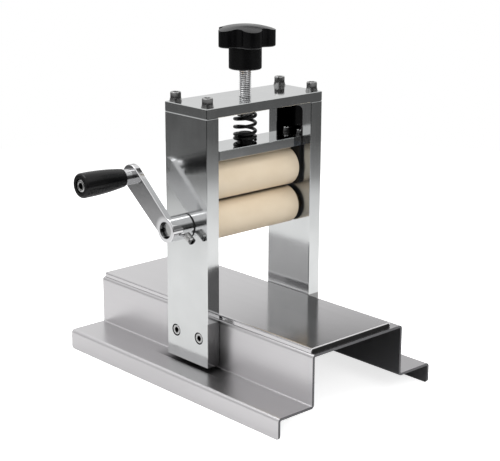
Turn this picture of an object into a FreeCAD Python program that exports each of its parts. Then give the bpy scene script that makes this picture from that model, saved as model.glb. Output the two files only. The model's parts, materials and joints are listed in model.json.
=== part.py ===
import FreeCAD, Part
import math
import os

# Hand cranked two-roll press on a folded sheet base.
# Millimetres. The floor is z = 0 and the middle of the frame is x = y = 0.
# The rolls lie along x, the crank is on the -x side, and work is fed along y.

# ---- Base channel: one folded stainless sheet ----
sheet = 2.0
base_length = 260.0
base_width = 170.0
flange_top = 17.0
deck_top = 58.0
bend_inside_radius = 1.0
lip_corner_radius = 2.5

# ---- Frame: two side plates under a bridge ----
frame_gap = 100.0
plate_thickness = 12.5
plate_width = 50.0
plate_foot_clearance = 2.5
bridge_thickness = 8.0
edge_break = 0.4

# ---- Feed plate: thin sheet with its two long sides turned down over a pad on the deck ----
feed_sheet = 1.0
feed_pad_thickness = 3.0
feed_bend_radius = 0.5
feed_front_setback = 3.7
feed_back_setback = 2.0
feed_crank_margin = 1.5
feed_far_margin = 10.5

# ---- Rolls ----
roll_diameter = 31.5
roll_gap = 1.0
lower_roll_height = 133.4
core_diameter = 22.0
lower_journal_diameter = 12.0
upper_journal_diameter = 10.0
journal_chamfer = 0.6
roll_edge_radius = 0.8

# ---- Fits, radial or per side ----
running_clearance = 0.05
seat_clearance = 0.02
slide_clearance = 0.3
end_clearance = 0.35
bolt_clearance = 0.25

# ---- Bearings ----
bush_wall = 2.0
bush_flange_diameter = 20.0
bush_flange_thickness = 2.9
plate_skin = 1.5
slot_top_margin = 4.5
slot_corner_radius = 4.0
block_under_axis = 13.9
block_corner_radius = 4.5

# ---- Pressure bar and spindle ----
bar_width = 30.0
bar_thickness = 8.0
bar_over_roll = 2.75
spindle_diameter = 10.0
spindle_reach_in_knob = 19.5
foot_diameter = 12.5
foot_height = 5.5
foot_lift_room = 2.6
foot_pin_diameter = 5.0
foot_head_diameter = 6.4
foot_head_thickness = 1.0
foot_recess_depth = 1.5
foot_recess_diameter = 7.4
collar_clearance = 0.5
collar_height = 8.0
collar_edge_radius = 2.0
collar_spigot_diameter = 6.0
collar_spigot_length = 7.5
spring_room = 29.1
spring_outer_diameter = 19.4
spring_wire = 2.7
spring_turns = 4.9
spring_closed_turns = 1.0
spring_ramp_turns = 1.0
spring_start_angle = -42.7
spring_end_clearance = 0.1
spring_coil_clearance = 0.05
spring_points_per_turn = 12

# ---- Star knob ----
knob_underside = 251.5
knob_hub_height = 18.1
knob_rim_height = 13.0
knob_dome_rise = 4.2
knob_hub_diameter = 26.4
knob_lobes = 5
lobe_centre_radius = 15.9
lobe_radius = 8.2
valley_radius = 17.5
knob_first_lobe_angle = -42.7
knob_edge_radius = 1.2
insert_diameter = 14.0
insert_length = 18.0
tip_room_height = 1.0

# ---- Crank and grip ----
hub_diameter = 20.0
hub_length = 20.5
hub_mouth_margin = 0.7
crank_washer_thickness = 1.0
shaft_recess = 3.0
arm_thickness = 5.0
arm_reach = 56.0
arm_angle = 39.5
arm_hub_width = 16.5
arm_tip_radius = 9.7
arm_edge_radius = 0.7
clamp_screw_inset = 5.7
clamp_screw_angle = 30.5
clamp_screw_diameter = 6.0
clamp_screw_length = 12.0
clamp_screw_key = 3.0
ferrule_diameter = 13.0
ferrule_length = 8.0
grip_length = 40.5
grip_inner_diameter = 14.7
grip_middle_diameter = 19.0
grip_outer_diameter = 19.8
grip_end_radius = 2.2
grip_bolt_diameter = 8.0
grip_bolt_thread = 6.0
grip_bolt_head_diameter = 10.8
grip_bolt_head_height = 3.0
grip_bolt_sink = 0.5
grip_bolt_socket = 5.0
grip_bolt_socket_depth = 2.0

# ---- Standard fasteners: thread, head diameter, head height, key width ----
M4 = {"thread": 4.0, "head": 7.0, "height": 4.0, "key": 3.0}
M5 = {"thread": 5.0, "head": 8.5, "height": 5.0, "key": 4.0}
m5_nut_flats = 8.0
m5_nut_height = 4.0
m5_washer_diameter = 10.0
m5_washer_thickness = 1.0
m5_spring_washer_diameter = 9.2
m5_spring_washer_thickness = 1.6
spring_washer_slit = 0.8
counterbore_diameter = 10.0
counterbore_depth = 5.2
bridge_screw_length = 16.0
bridge_screw_inset = 6.0
bridge_hole_extra = 1.5
base_screw_length = 16.0
base_screw_inset = 11.0
base_screw_under_deck = 15.5
bar_screw_length = 16.0
bar_screw_inset = 7.0
spring_washer_slit_angle = 20.0

# ---- Construction values ----
overcut = 1.0

# ---- Places that follow from the sizes above ----
inner_face = frame_gap / 2
outer_face = inner_face + plate_thickness
plate_bottom = flange_top + plate_foot_clearance
pad_top = deck_top + feed_pad_thickness
feed_top = pad_top + feed_sheet
feed_low_x = -inner_face + feed_crank_margin
feed_high_x = inner_face - feed_far_margin

roll_radius = roll_diameter / 2
thrust_face = inner_face - bush_flange_thickness
roll_length = 2 * (thrust_face - end_clearance)
roll_end = roll_length / 2
upper_roll_height = lower_roll_height + roll_diameter + roll_gap
bush_outer_diameter = lower_journal_diameter + 2 * running_clearance + 2 * bush_wall

bar_bottom = upper_roll_height + roll_radius + bar_over_roll
bar_top = bar_bottom + bar_thickness
collar_top = bar_top + collar_height
collar_diameter = spring_outer_diameter - 2 * spring_wire - 2 * collar_clearance
frame_top = bar_top + spring_room
bridge_top = frame_top + bridge_thickness
slot_floor = outer_face - plate_skin
slot_width = bar_width + 2 * slide_clearance
slot_bottom = upper_roll_height - block_under_axis
slot_top = frame_top - slot_top_margin
slide_end = slot_floor - slide_clearance
foot_top = frame_top - foot_lift_room
foot_bottom = foot_top - foot_height

knob_head_bottom = knob_underside + knob_hub_height
knob_rim_top = knob_head_bottom + knob_rim_height
knob_crown = knob_rim_top + knob_dome_rise
spindle_top = knob_underside + spindle_reach_in_knob

hub_inner_face = outer_face + crank_washer_thickness
crank_face = hub_inner_face + hub_length
hub_mouth_diameter = lower_journal_diameter + 2 * hub_mouth_margin
clamp_screw_x = hub_inner_face + clamp_screw_inset
arm_inner_face = crank_face - arm_thickness
grip_y = arm_reach * math.cos(math.radians(arm_angle))
grip_z = lower_roll_height + arm_reach * math.sin(math.radians(arm_angle))
grip_start = crank_face + ferrule_length + slide_clearance
grip_end = grip_start + grip_length

bridge_screw_x = inner_face + plate_thickness / 2
bridge_screw_spacing = plate_width - 2 * bridge_screw_inset
base_screw_height = deck_top - base_screw_under_deck
base_screw_spacing = plate_width - 2 * base_screw_inset
bar_screw_x = (inner_face + slide_end) / 2
bar_screw_spacing = bar_width - 2 * bar_screw_inset

X_AXIS = FreeCAD.Vector(1, 0, 0)
Y_AXIS = FreeCAD.Vector(0, 1, 0)
Z_AXIS = FreeCAD.Vector(0, 0, 1)


# ---- Helpers ----
def vec(x, y, z):
    return FreeCAD.Vector(x, y, z)


def block(x_low, x_high, y_low, y_high, z_low, z_high):
    corner = vec(x_low, y_low, z_low)
    return Part.makeBox(x_high - x_low, y_high - y_low, z_high - z_low, corner)


def rod(diameter, start, direction, length):
    return Part.makeCylinder(diameter / 2, length, start, direction)


def tube(outer, inner, start, direction, length):
    return rod(outer, start, direction, length).cut(rod(inner, start, direction, length))


def rod_x(diameter, x_low, x_high, y=0.0, z=0.0):
    return rod(diameter, vec(x_low, y, z), X_AXIS, x_high - x_low)


def fuse(shapes):
    return shapes[0].multiFuse(shapes[1:]).removeSplitter()


def mirror_x(shape):
    return shape.mirror(vec(0, 0, 0), X_AXIS)


def hexagon(across_flats, z_low, z_high):
    corner_radius = across_flats / 2 / math.cos(math.radians(30))
    corners = []
    for step in range(7):
        angle = math.radians(60 * step)
        corners.append(vec(corner_radius * math.cos(angle), corner_radius * math.sin(angle), z_low))
    return Part.Face(Part.makePolygon(corners)).extrude(vec(0, 0, z_high - z_low))


def round_edges(shape, radius, chosen):
    edges = [edge for edge in shape.Edges if chosen(edge)]
    return shape.makeFillet(radius, edges)


def broken_edges(shape, size):
    return shape.makeChamfer(size, shape.Edges)


def edge_on_plane(edge, axis, value):
    return all(abs(getattr(vertex.Point, axis) - value) < 1e-6 for vertex in edge.Vertexes)


def edge_along(edge, direction):
    if not isinstance(edge.Curve, Part.Line):
        return False
    return abs(abs(edge.Curve.Direction.dot(direction)) - 1) < 1e-6


def turned(shape, angle, axis):
    copy = shape.copy()
    copy.rotate(vec(0, 0, 0), axis, angle)
    return copy


def moved(shape, x, y, z):
    copy = shape.copy()
    copy.translate(vec(x, y, z))
    return copy


def revolve_profile(points, axis):
    """Turns a closed outline of points and arcs, given as edges, about an axis through 0."""
    return Part.Face(Part.Wire(points)).revolve(vec(0, 0, 0), axis, 360)


def save(name, shape):
    shape.exportStep("parts/" + name + ".step")
    print(f"{name}: {len(shape.Solids)} solid(s), {shape.Volume / 1000:.2f} cm3, valid {shape.isValid()}")


# ---- Fasteners, head up, with the underside of the head at z = 0 ----
def cap_screw(size, length):
    head = rod(size["head"], vec(0, 0, 0), Z_AXIS, size["height"])
    head = round_edges(head, size["thread"] / 10, lambda edge: edge_on_plane(edge, "z", size["height"]))
    shank = rod(size["thread"], vec(0, 0, -length), Z_AXIS, length)
    socket_depth = size["height"] / 2
    socket = hexagon(size["key"], size["height"] - socket_depth, size["height"] + overcut)
    return fuse([head, shank]).cut(socket)


def split_ring():
    ring = tube(m5_spring_washer_diameter, M5["thread"] + 2 * bolt_clearance, vec(0, 0, 0), Z_AXIS,
                m5_spring_washer_thickness)
    slit = block(0, m5_spring_washer_diameter, -spring_washer_slit / 2, spring_washer_slit / 2,
                 -overcut, m5_spring_washer_thickness + overcut)
    return ring.cut(turned(slit, spring_washer_slit_angle, X_AXIS))


def flat_washer():
    return tube(m5_washer_diameter, M5["thread"] + 2 * bolt_clearance, vec(0, 0, 0), Z_AXIS,
                m5_washer_thickness)


def m5_nut():
    nut = hexagon(m5_nut_flats, 0, m5_nut_height)
    bore = rod(M5["thread"] + 2 * seat_clearance, vec(0, 0, -overcut), Z_AXIS,
               m5_nut_height + 2 * overcut)
    return nut.cut(bore)


def at_bridge(shape, height):
    """Four copies over the tops of the side plates."""
    copies = []
    for x in (-bridge_screw_x, bridge_screw_x):
        for y in (-bridge_screw_spacing / 2, bridge_screw_spacing / 2):
            copies.append(moved(shape, x, y, height))
    return copies


def at_base(shape, distance):
    """Four copies on the foot screw lines, with their z axis pointing out of the frame."""
    copies = []
    for y in (-base_screw_spacing / 2, base_screw_spacing / 2):
        copies.append(moved(turned(shape, 90, Y_AXIS), distance, y, base_screw_height))
        copies.append(moved(turned(shape, -90, Y_AXIS), -distance, y, base_screw_height))
    return copies


def at_bar_ends(shape, height):
    copies = []
    for x in (-bar_screw_x, bar_screw_x):
        for y in (-bar_screw_spacing / 2, bar_screw_spacing / 2):
            copies.append(moved(shape, x, y, height))
    return copies


# ---- Base ----
def rounded_path(corners, radii):
    """Straight runs through the corners, joined by tangent arcs. The first and last have none."""
    edges = []
    start = corners[0]
    for index in range(1, len(corners) - 1):
        corner = corners[index]
        before = (corners[index - 1] - corner).normalize()
        after = (corners[index + 1] - corner).normalize()
        half_angle = before.getAngle(after) / 2
        reach = radii[index - 1] / math.tan(half_angle)
        arc_start = corner + before * reach
        arc_end = corner + after * reach
        bisector = (before + after).normalize()
        centre = corner + bisector * (radii[index - 1] / math.sin(half_angle))
        arc_middle = centre - bisector * radii[index - 1]
        edges.append(Part.LineSegment(start, arc_start).toShape())
        edges.append(Part.Arc(arc_start, arc_middle, arc_end).toShape())
        start = arc_end
    edges.append(Part.LineSegment(start, corners[-1]).toShape())
    return edges


def channel_side(offset):
    """Corner points of one face of the folded sheet, from the -x lip to the +x lip."""
    lip = base_width / 2 - offset
    wall = inner_face - offset
    flange = flange_top - offset
    deck = deck_top - offset
    half = [(lip, 0), (lip, flange), (wall, flange), (wall, deck)]
    left = [vec(-x, 0, z) for x, z in half]
    right = [vec(x, 0, z) for x, z in reversed(half)]
    return left + right


def base_channel():
    tight = bend_inside_radius
    wide = bend_inside_radius + sheet
    outside = rounded_path(channel_side(0), [wide, tight, wide, wide, tight, wide])
    inside = rounded_path(channel_side(sheet), [tight, wide, tight, tight, wide, tight])
    left_cap = Part.LineSegment(vec(-base_width / 2, 0, 0), vec(-base_width / 2 + sheet, 0, 0)).toShape()
    right_cap = Part.LineSegment(vec(base_width / 2, 0, 0), vec(base_width / 2 - sheet, 0, 0)).toShape()
    wire = Part.Wire(Part.__sortEdges__(outside + inside + [left_cap, right_cap]))
    channel = Part.Face(wire).extrude(vec(0, base_length, 0))
    channel.translate(vec(0, -base_length / 2, 0))

    def lip_corner(edge):
        at_end = edge_on_plane(edge, "y", base_length / 2) or edge_on_plane(edge, "y", -base_length / 2)
        return at_end and edge_on_plane(edge, "z", 0) and edge.Length < sheet + bend_inside_radius

    channel = round_edges(channel, lip_corner_radius, lip_corner)
    hole = rod(M5["thread"] + 2 * bolt_clearance, vec(0, 0, -overcut), Z_AXIS,
               sheet + 2 * overcut)
    for cutter in at_base(hole, inner_face - sheet):
        channel = channel.cut(cutter)
    return channel


def feed_block(side_inset, z_top):
    """Block on the deck with the feed plate's outline, drawn in from its two long sides."""
    return block(feed_low_x + side_inset, feed_high_x - side_inset,
                 -base_length / 2 + feed_front_setback, base_length / 2 - feed_back_setback,
                 deck_top, z_top)


def feed_plate():
    outside = round_edges(feed_block(0, feed_top), feed_bend_radius + feed_sheet,
                          lambda edge: edge_along(edge, Y_AXIS) and edge_on_plane(edge, "z", feed_top))
    room = round_edges(feed_block(feed_sheet, pad_top), feed_bend_radius,
                       lambda edge: edge_along(edge, Y_AXIS) and edge_on_plane(edge, "z", pad_top))
    return outside.cut(room)


def feed_pad():
    side_inset = feed_sheet + slide_clearance
    return round_edges(feed_block(side_inset, pad_top), feed_bend_radius,
                       lambda edge: edge_along(edge, Y_AXIS) and edge_on_plane(edge, "z", pad_top))


# ---- Frame ----
def guide_slot():
    """The pocket in the inner face of the +x side plate that the bar and its blocks slide in."""
    slot = block(inner_face - overcut, slot_floor, -slot_width / 2, slot_width / 2, slot_bottom, slot_top)
    return round_edges(slot, slot_corner_radius, lambda edge: edge_along(edge, X_AXIS))


def side_plate():
    """The +x side plate, before its bearing bore is cut."""
    plate = block(inner_face, outer_face, -plate_width / 2, plate_width / 2, plate_bottom, frame_top)
    plate = broken_edges(plate, edge_break).cut(guide_slot())
    screw_depth = bridge_screw_length - bridge_thickness - m5_washer_thickness
    screw_depth = screw_depth - m5_spring_washer_thickness + bridge_hole_extra
    tapped_hole = rod(M5["thread"] + 2 * seat_clearance, vec(0, 0, -screw_depth), Z_AXIS,
                      screw_depth + overcut)
    clearance_hole = rod(M5["thread"] + 2 * bolt_clearance, vec(0, 0, -plate_thickness), Z_AXIS,
                         plate_thickness + overcut)
    counterbore = rod(counterbore_diameter, vec(0, 0, -counterbore_depth), Z_AXIS,
                      counterbore_depth + overcut)
    cutters = at_bridge(tapped_hole, frame_top)
    cutters = cutters + at_base(clearance_hole, outer_face) + at_base(counterbore, outer_face)
    for cutter in cutters:
        plate = plate.cut(cutter)
    return plate


def far_side_plate():
    bore = rod_x(bush_outer_diameter + 2 * seat_clearance, inner_face - overcut, slot_floor, 0,
                 lower_roll_height)
    return side_plate().cut(bore)


def crank_side_plate():
    bore = rod_x(bush_outer_diameter + 2 * seat_clearance, -outer_face - overcut, -inner_face + overcut, 0,
                 lower_roll_height)
    return mirror_x(side_plate()).cut(bore)


def flanged_bush(x_tail):
    """Bush whose flange faces the lower roll and whose tail ends at x_tail, on the +x side."""
    body = rod_x(bush_outer_diameter, inner_face, x_tail, 0, lower_roll_height)
    flange = rod_x(bush_flange_diameter, thrust_face, inner_face, 0, lower_roll_height)
    bore = rod_x(lower_journal_diameter + 2 * running_clearance, thrust_face - overcut, x_tail + overcut, 0,
                 lower_roll_height)
    return fuse([body, flange]).cut(bore)


def top_bridge():
    bridge = block(-outer_face, outer_face, -plate_width / 2, plate_width / 2, frame_top, bridge_top)
    bridge = broken_edges(bridge, edge_break)
    hole = rod(M5["thread"] + 2 * bolt_clearance, vec(0, 0, -overcut), Z_AXIS,
               bridge_thickness + 2 * overcut)
    for cutter in at_bridge(hole, frame_top):
        bridge = bridge.cut(cutter)
    thread = rod(spindle_diameter + 2 * running_clearance, vec(0, 0, frame_top - overcut), Z_AXIS,
                 bridge_thickness + 2 * overcut)
    return bridge.cut(thread)


# ---- Rolls ----
def stepped_shaft(journal_diameter, x_low, x_high, height):
    core = rod_x(core_diameter, -roll_end, roll_end, 0, height)
    journal = rod_x(journal_diameter, x_low, x_high, 0, height)
    journal = journal.makeChamfer(journal_chamfer, [edge for edge in journal.Edges if edge.Closed])
    return fuse([core, journal])


def roll_cover(height):
    cover = rod_x(roll_diameter, -roll_end, roll_end, 0, height)
    cover = round_edges(cover, roll_edge_radius, lambda edge: edge.Closed)
    bore = rod_x(core_diameter + 2 * seat_clearance, -roll_end - overcut, roll_end + overcut, 0, height)
    return cover.cut(bore)


# ---- Carriage: bar, blocks, collar ----
def pressure_bar():
    bar = block(-slide_end, slide_end, -bar_width / 2, bar_width / 2, bar_bottom, bar_top)
    bar = broken_edges(bar, edge_break)
    spigot_hole = rod(collar_spigot_diameter + 2 * seat_clearance, vec(0, 0, bar_bottom - overcut), Z_AXIS,
                      bar_thickness + 2 * overcut)
    bar = bar.cut(spigot_hole)
    hole = rod(M4["thread"] + 2 * bolt_clearance, vec(0, 0, -bar_thickness - overcut), Z_AXIS,
               bar_thickness + 2 * overcut)
    for cutter in at_bar_ends(hole, bar_top):
        bar = bar.cut(cutter)
    return bar


def bearing_block():
    """The +x sliding block that carries the upper roll's journal."""
    body = block(thrust_face, slide_end, -bar_width / 2, bar_width / 2, slot_bottom, bar_bottom)

    def lower_corner(edge):
        return edge_along(edge, X_AXIS) and edge_on_plane(edge, "z", slot_bottom)

    body = round_edges(body, block_corner_radius, lower_corner)
    bore = rod_x(upper_journal_diameter + 2 * running_clearance, thrust_face - overcut, slide_end + overcut,
                 0, upper_roll_height)
    body = body.cut(bore)
    screw_depth = bar_screw_length - bar_thickness + bolt_clearance
    hole = rod(M4["thread"] + 2 * seat_clearance, vec(0, 0, -screw_depth), Z_AXIS, screw_depth + overcut)
    for cutter in at_bar_ends(hole, bar_bottom):
        body = body.cut(cutter)
    return body


def spring_collar():
    """Round collar with a spigot in the bar; it keeps the spring's foot in place and meets the spindle's foot."""
    collar = rod(collar_diameter, vec(0, 0, bar_top), Z_AXIS, collar_height)
    collar = round_edges(collar, collar_edge_radius, lambda edge: edge_on_plane(edge, "z", collar_top))
    spigot = rod(collar_spigot_diameter, vec(0, 0, bar_top - collar_spigot_length), Z_AXIS,
                 collar_spigot_length)
    return fuse([collar, spigot])


def spring_rise(turns):
    """Height of the wire's centre over its foot: closed turns, a ramp, then evenly open turns."""
    closed_pitch = spring_wire + spring_coil_clearance
    rise = spring_room - spring_wire - 2 * spring_end_clearance
    open_turns = spring_turns - spring_closed_turns - spring_ramp_turns
    weight = spring_closed_turns + spring_ramp_turns / 2
    open_pitch = (rise - closed_pitch * weight) / (open_turns + spring_ramp_turns / 2)
    if turns <= spring_closed_turns:
        return closed_pitch * turns
    past_closed = turns - spring_closed_turns
    if past_closed <= spring_ramp_turns:
        share = past_closed / spring_ramp_turns
        return closed_pitch * turns + (open_pitch - closed_pitch) * past_closed * share / 2
    past_ramp = past_closed - spring_ramp_turns
    return closed_pitch * weight + open_pitch * (spring_ramp_turns / 2 + past_ramp)


def pressure_spring():
    radius = (spring_outer_diameter - spring_wire) / 2
    foot = bar_top + spring_end_clearance + spring_wire / 2
    steps = round(spring_turns * spring_points_per_turn)
    points = []
    for step in range(steps + 1):
        turns = spring_turns * step / steps
        angle = math.radians(spring_start_angle + 360 * turns)
        points.append(vec(radius * math.cos(angle), radius * math.sin(angle), foot + spring_rise(turns)))
    centre_line = Part.BSplineCurve()
    centre_line.interpolate(points)
    section = Part.makeCircle(spring_wire / 2, points[0], points[1] - points[0])
    return Part.Wire([centre_line.toShape()]).makePipeShell([Part.Wire([section])], True, True)


# ---- Spindle and knob ----
def pressure_spindle():
    """Threaded rod with a pin through the swivel foot and a riveted head under it."""
    shoulder = foot_top + running_clearance
    head_top = foot_bottom + foot_recess_depth - running_clearance
    head_bottom = head_top - foot_head_thickness
    thread = rod(spindle_diameter, vec(0, 0, shoulder), Z_AXIS, spindle_top - shoulder)
    pin = rod(foot_pin_diameter, vec(0, 0, head_bottom), Z_AXIS, shoulder - head_bottom)
    head = rod(foot_head_diameter, vec(0, 0, head_bottom), Z_AXIS, foot_head_thickness)
    return fuse([thread, pin, head])


def swivel_foot():
    foot = rod(foot_diameter, vec(0, 0, foot_bottom), Z_AXIS, foot_height)
    foot = round_edges(foot, edge_break, lambda edge: True)
    bore = rod(foot_pin_diameter + 2 * running_clearance, vec(0, 0, foot_bottom - overcut), Z_AXIS,
               foot_height + 2 * overcut)
    recess = rod(foot_recess_diameter, vec(0, 0, foot_bottom - overcut), Z_AXIS,
                 foot_recess_depth + overcut)
    return foot.cut(bore).cut(recess)


def star_outline(height):
    """Convex lobes joined by tangent concave valleys, as one closed wire at this height."""
    step = math.radians(360 / knob_lobes)
    half = step / 2
    spread = lobe_centre_radius * math.cos(half)
    square_sum = lobe_centre_radius ** 2 + valley_radius ** 2 - lobe_radius ** 2
    fillet = (square_sum - 2 * valley_radius * spread) / (2 * (lobe_radius - valley_radius + spread))
    fillet_centre = valley_radius + fillet

    def polar(radius, angle):
        return vec(radius * math.cos(angle), radius * math.sin(angle), height)

    edges = []
    for index in range(knob_lobes):
        angle = math.radians(knob_first_lobe_angle) + index * step
        lobe = polar(lobe_centre_radius, angle)
        before = polar(fillet_centre, angle - half)
        after = polar(fillet_centre, angle + half)
        next_lobe = polar(lobe_centre_radius, angle + step)
        joint_in = lobe + (before - lobe).normalize() * lobe_radius
        joint_out = lobe + (after - lobe).normalize() * lobe_radius
        next_in = next_lobe + (after - next_lobe).normalize() * lobe_radius
        edges.append(Part.Arc(joint_in, polar(lobe_centre_radius + lobe_radius, angle), joint_out).toShape())
        edges.append(Part.Arc(joint_out, polar(valley_radius, angle + half), next_in).toShape())
    return Part.Wire(edges)


def star_knob():
    blank_height = knob_crown + overcut - knob_head_bottom
    head = Part.Face(star_outline(knob_head_bottom)).extrude(vec(0, 0, blank_height))
    tip = lobe_centre_radius + lobe_radius
    dome_radius = (tip ** 2 + knob_dome_rise ** 2) / (2 * knob_dome_rise)
    dome = Part.makeSphere(dome_radius, vec(0, 0, knob_crown - dome_radius))
    head = head.common(dome)
    head = round_edges(head, knob_edge_radius, lambda edge: edge_on_plane(edge, "z", knob_head_bottom))
    hub = rod(knob_hub_diameter, vec(0, 0, knob_underside), Z_AXIS, knob_hub_height + overcut)
    hub = round_edges(hub, knob_edge_radius, lambda edge: edge_on_plane(edge, "z", knob_underside))
    knob = fuse([head, hub])
    insert_seat = rod(insert_diameter + 2 * seat_clearance, vec(0, 0, knob_underside - overcut), Z_AXIS,
                      insert_length + overcut)
    tip_room = rod(spindle_diameter + 2 * bolt_clearance, vec(0, 0, knob_underside), Z_AXIS,
                   spindle_reach_in_knob + tip_room_height)
    return knob.cut(insert_seat).cut(tip_room)


def knob_insert():
    return tube(insert_diameter, spindle_diameter + 2 * seat_clearance, vec(0, 0, knob_underside), Z_AXIS,
                insert_length)


# ---- Crank and grip ----
def crank_arm():
    """Hub and flat arm in one piece, with the arm rising towards +y."""
    hub = rod_x(hub_diameter, -crank_face, -hub_inner_face)
    tip = rod_x(2 * arm_tip_radius, -crank_face, -arm_inner_face, arm_reach, 0)
    sine = (arm_tip_radius - arm_hub_width / 2) / arm_reach
    tangent_y = arm_reach - arm_tip_radius * sine
    tangent_z = arm_tip_radius * math.sqrt(1 - sine ** 2)
    corners = [
        vec(-crank_face, 0, -arm_hub_width / 2),
        vec(-crank_face, tangent_y, -tangent_z),
        vec(-crank_face, tangent_y, tangent_z),
        vec(-crank_face, 0, arm_hub_width / 2),
    ]
    web = Part.Face(Part.makePolygon(corners + corners[:1])).extrude(vec(arm_thickness, 0, 0))
    crank = fuse([hub, tip, web])

    def outer_rim(edge):
        return edge_on_plane(edge, "x", -crank_face)

    crank = round_edges(crank, arm_edge_radius, outer_rim)
    shaft_bore = rod_x(lower_journal_diameter + 2 * seat_clearance, -crank_face - overcut,
                       -hub_inner_face + overcut)
    grip_hole = rod_x(grip_bolt_thread + 2 * seat_clearance, -crank_face - overcut, -arm_inner_face + overcut,
                      arm_reach, 0)
    mouth = rod_x(hub_mouth_diameter, -crank_face - overcut, -crank_face + shaft_recess)
    clamp_hole = rod(clamp_screw_diameter + 2 * seat_clearance, vec(-clamp_screw_x, 0, 0), vec(0, -1, 0),
                     hub_diameter)
    crank = turned(crank.cut(shaft_bore).cut(mouth).cut(grip_hole), arm_angle, X_AXIS)
    crank = crank.cut(turned(clamp_hole, clamp_screw_angle, X_AXIS))
    return moved(crank, 0, 0, lower_roll_height)


def crank_clamp_screw():
    """Headless set screw under the hub's front, its inner end just clear of the shaft."""
    inner_end = lower_journal_diameter / 2 + seat_clearance
    outer_end = inner_end + clamp_screw_length
    screw = rod(clamp_screw_diameter, vec(0, 0, inner_end), Z_AXIS, clamp_screw_length)
    screw = broken_edges(screw, edge_break)
    socket = hexagon(clamp_screw_key, outer_end - clamp_screw_key, outer_end + overcut)
    screw = moved(turned(screw.cut(socket), 90, X_AXIS), -clamp_screw_x, 0, 0)
    return moved(turned(screw, clamp_screw_angle, X_AXIS), 0, 0, lower_roll_height)


def crank_washer():
    return tube(hub_diameter, lower_journal_diameter + 2 * bolt_clearance,
                vec(-hub_inner_face, 0, lower_roll_height), X_AXIS, crank_washer_thickness)


def grip_ferrule():
    ferrule = rod_x(ferrule_diameter, -crank_face - ferrule_length, -crank_face, grip_y, grip_z)
    return ferrule.cut(rod_x(grip_bolt_thread + 2 * seat_clearance, -crank_face - ferrule_length - overcut,
                             -crank_face + overcut, grip_y, grip_z))


def grip_profile():
    """Half outline of the grip in the x-y plane, with the axis on y = 0."""
    inner = vec(-grip_start, grip_inner_diameter / 2, 0)
    middle = vec(-(grip_start + grip_end) / 2, grip_middle_diameter / 2, 0)
    shoulder = vec(-grip_end + grip_end_radius, grip_outer_diameter / 2, 0)
    cap = vec(-grip_end, grip_outer_diameter / 2 - grip_end_radius, 0)
    quarter = math.sqrt(0.5) * grip_end_radius
    cap_middle = vec(-grip_end + grip_end_radius - quarter,
                     grip_outer_diameter / 2 - grip_end_radius + quarter, 0)
    axis_in = vec(-grip_start, 0, 0)
    axis_out = vec(-grip_end, 0, 0)
    return [
        Part.LineSegment(axis_in, inner).toShape(),
        Part.Arc(inner, middle, shoulder).toShape(),
        Part.Arc(shoulder, cap_middle, cap).toShape(),
        Part.LineSegment(cap, axis_out).toShape(),
        Part.LineSegment(axis_out, axis_in).toShape(),
    ]


def crank_grip():
    grip = moved(revolve_profile(grip_profile(), X_AXIS), 0, grip_y, grip_z)
    bore = rod_x(grip_bolt_diameter + 2 * running_clearance, -grip_end - overcut, -grip_start + overcut,
                 grip_y, grip_z)
    seat = rod_x(grip_bolt_head_diameter + 2 * slide_clearance, -grip_end - overcut, -grip_end + seat_depth(),
                 grip_y, grip_z)
    return grip.cut(bore).cut(seat)


def seat_depth():
    return grip_bolt_sink + grip_bolt_head_height + slide_clearance


def grip_bolt():
    head_face = -grip_end + grip_bolt_sink
    head = rod_x(grip_bolt_head_diameter, head_face, head_face + grip_bolt_head_height)
    head = round_edges(head, grip_bolt_sink, lambda edge: edge_on_plane(edge, "x", head_face))
    shank = rod_x(grip_bolt_diameter, head_face, -crank_face - ferrule_length)
    thread = rod_x(grip_bolt_thread, head_face, -arm_inner_face)
    socket = turned(hexagon(grip_bolt_socket, -overcut, grip_bolt_socket_depth), 90, Y_AXIS)
    bolt = fuse([head, shank, thread]).cut(moved(socket, head_face, 0, 0))
    return moved(bolt, 0, grip_y, grip_z)


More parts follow.
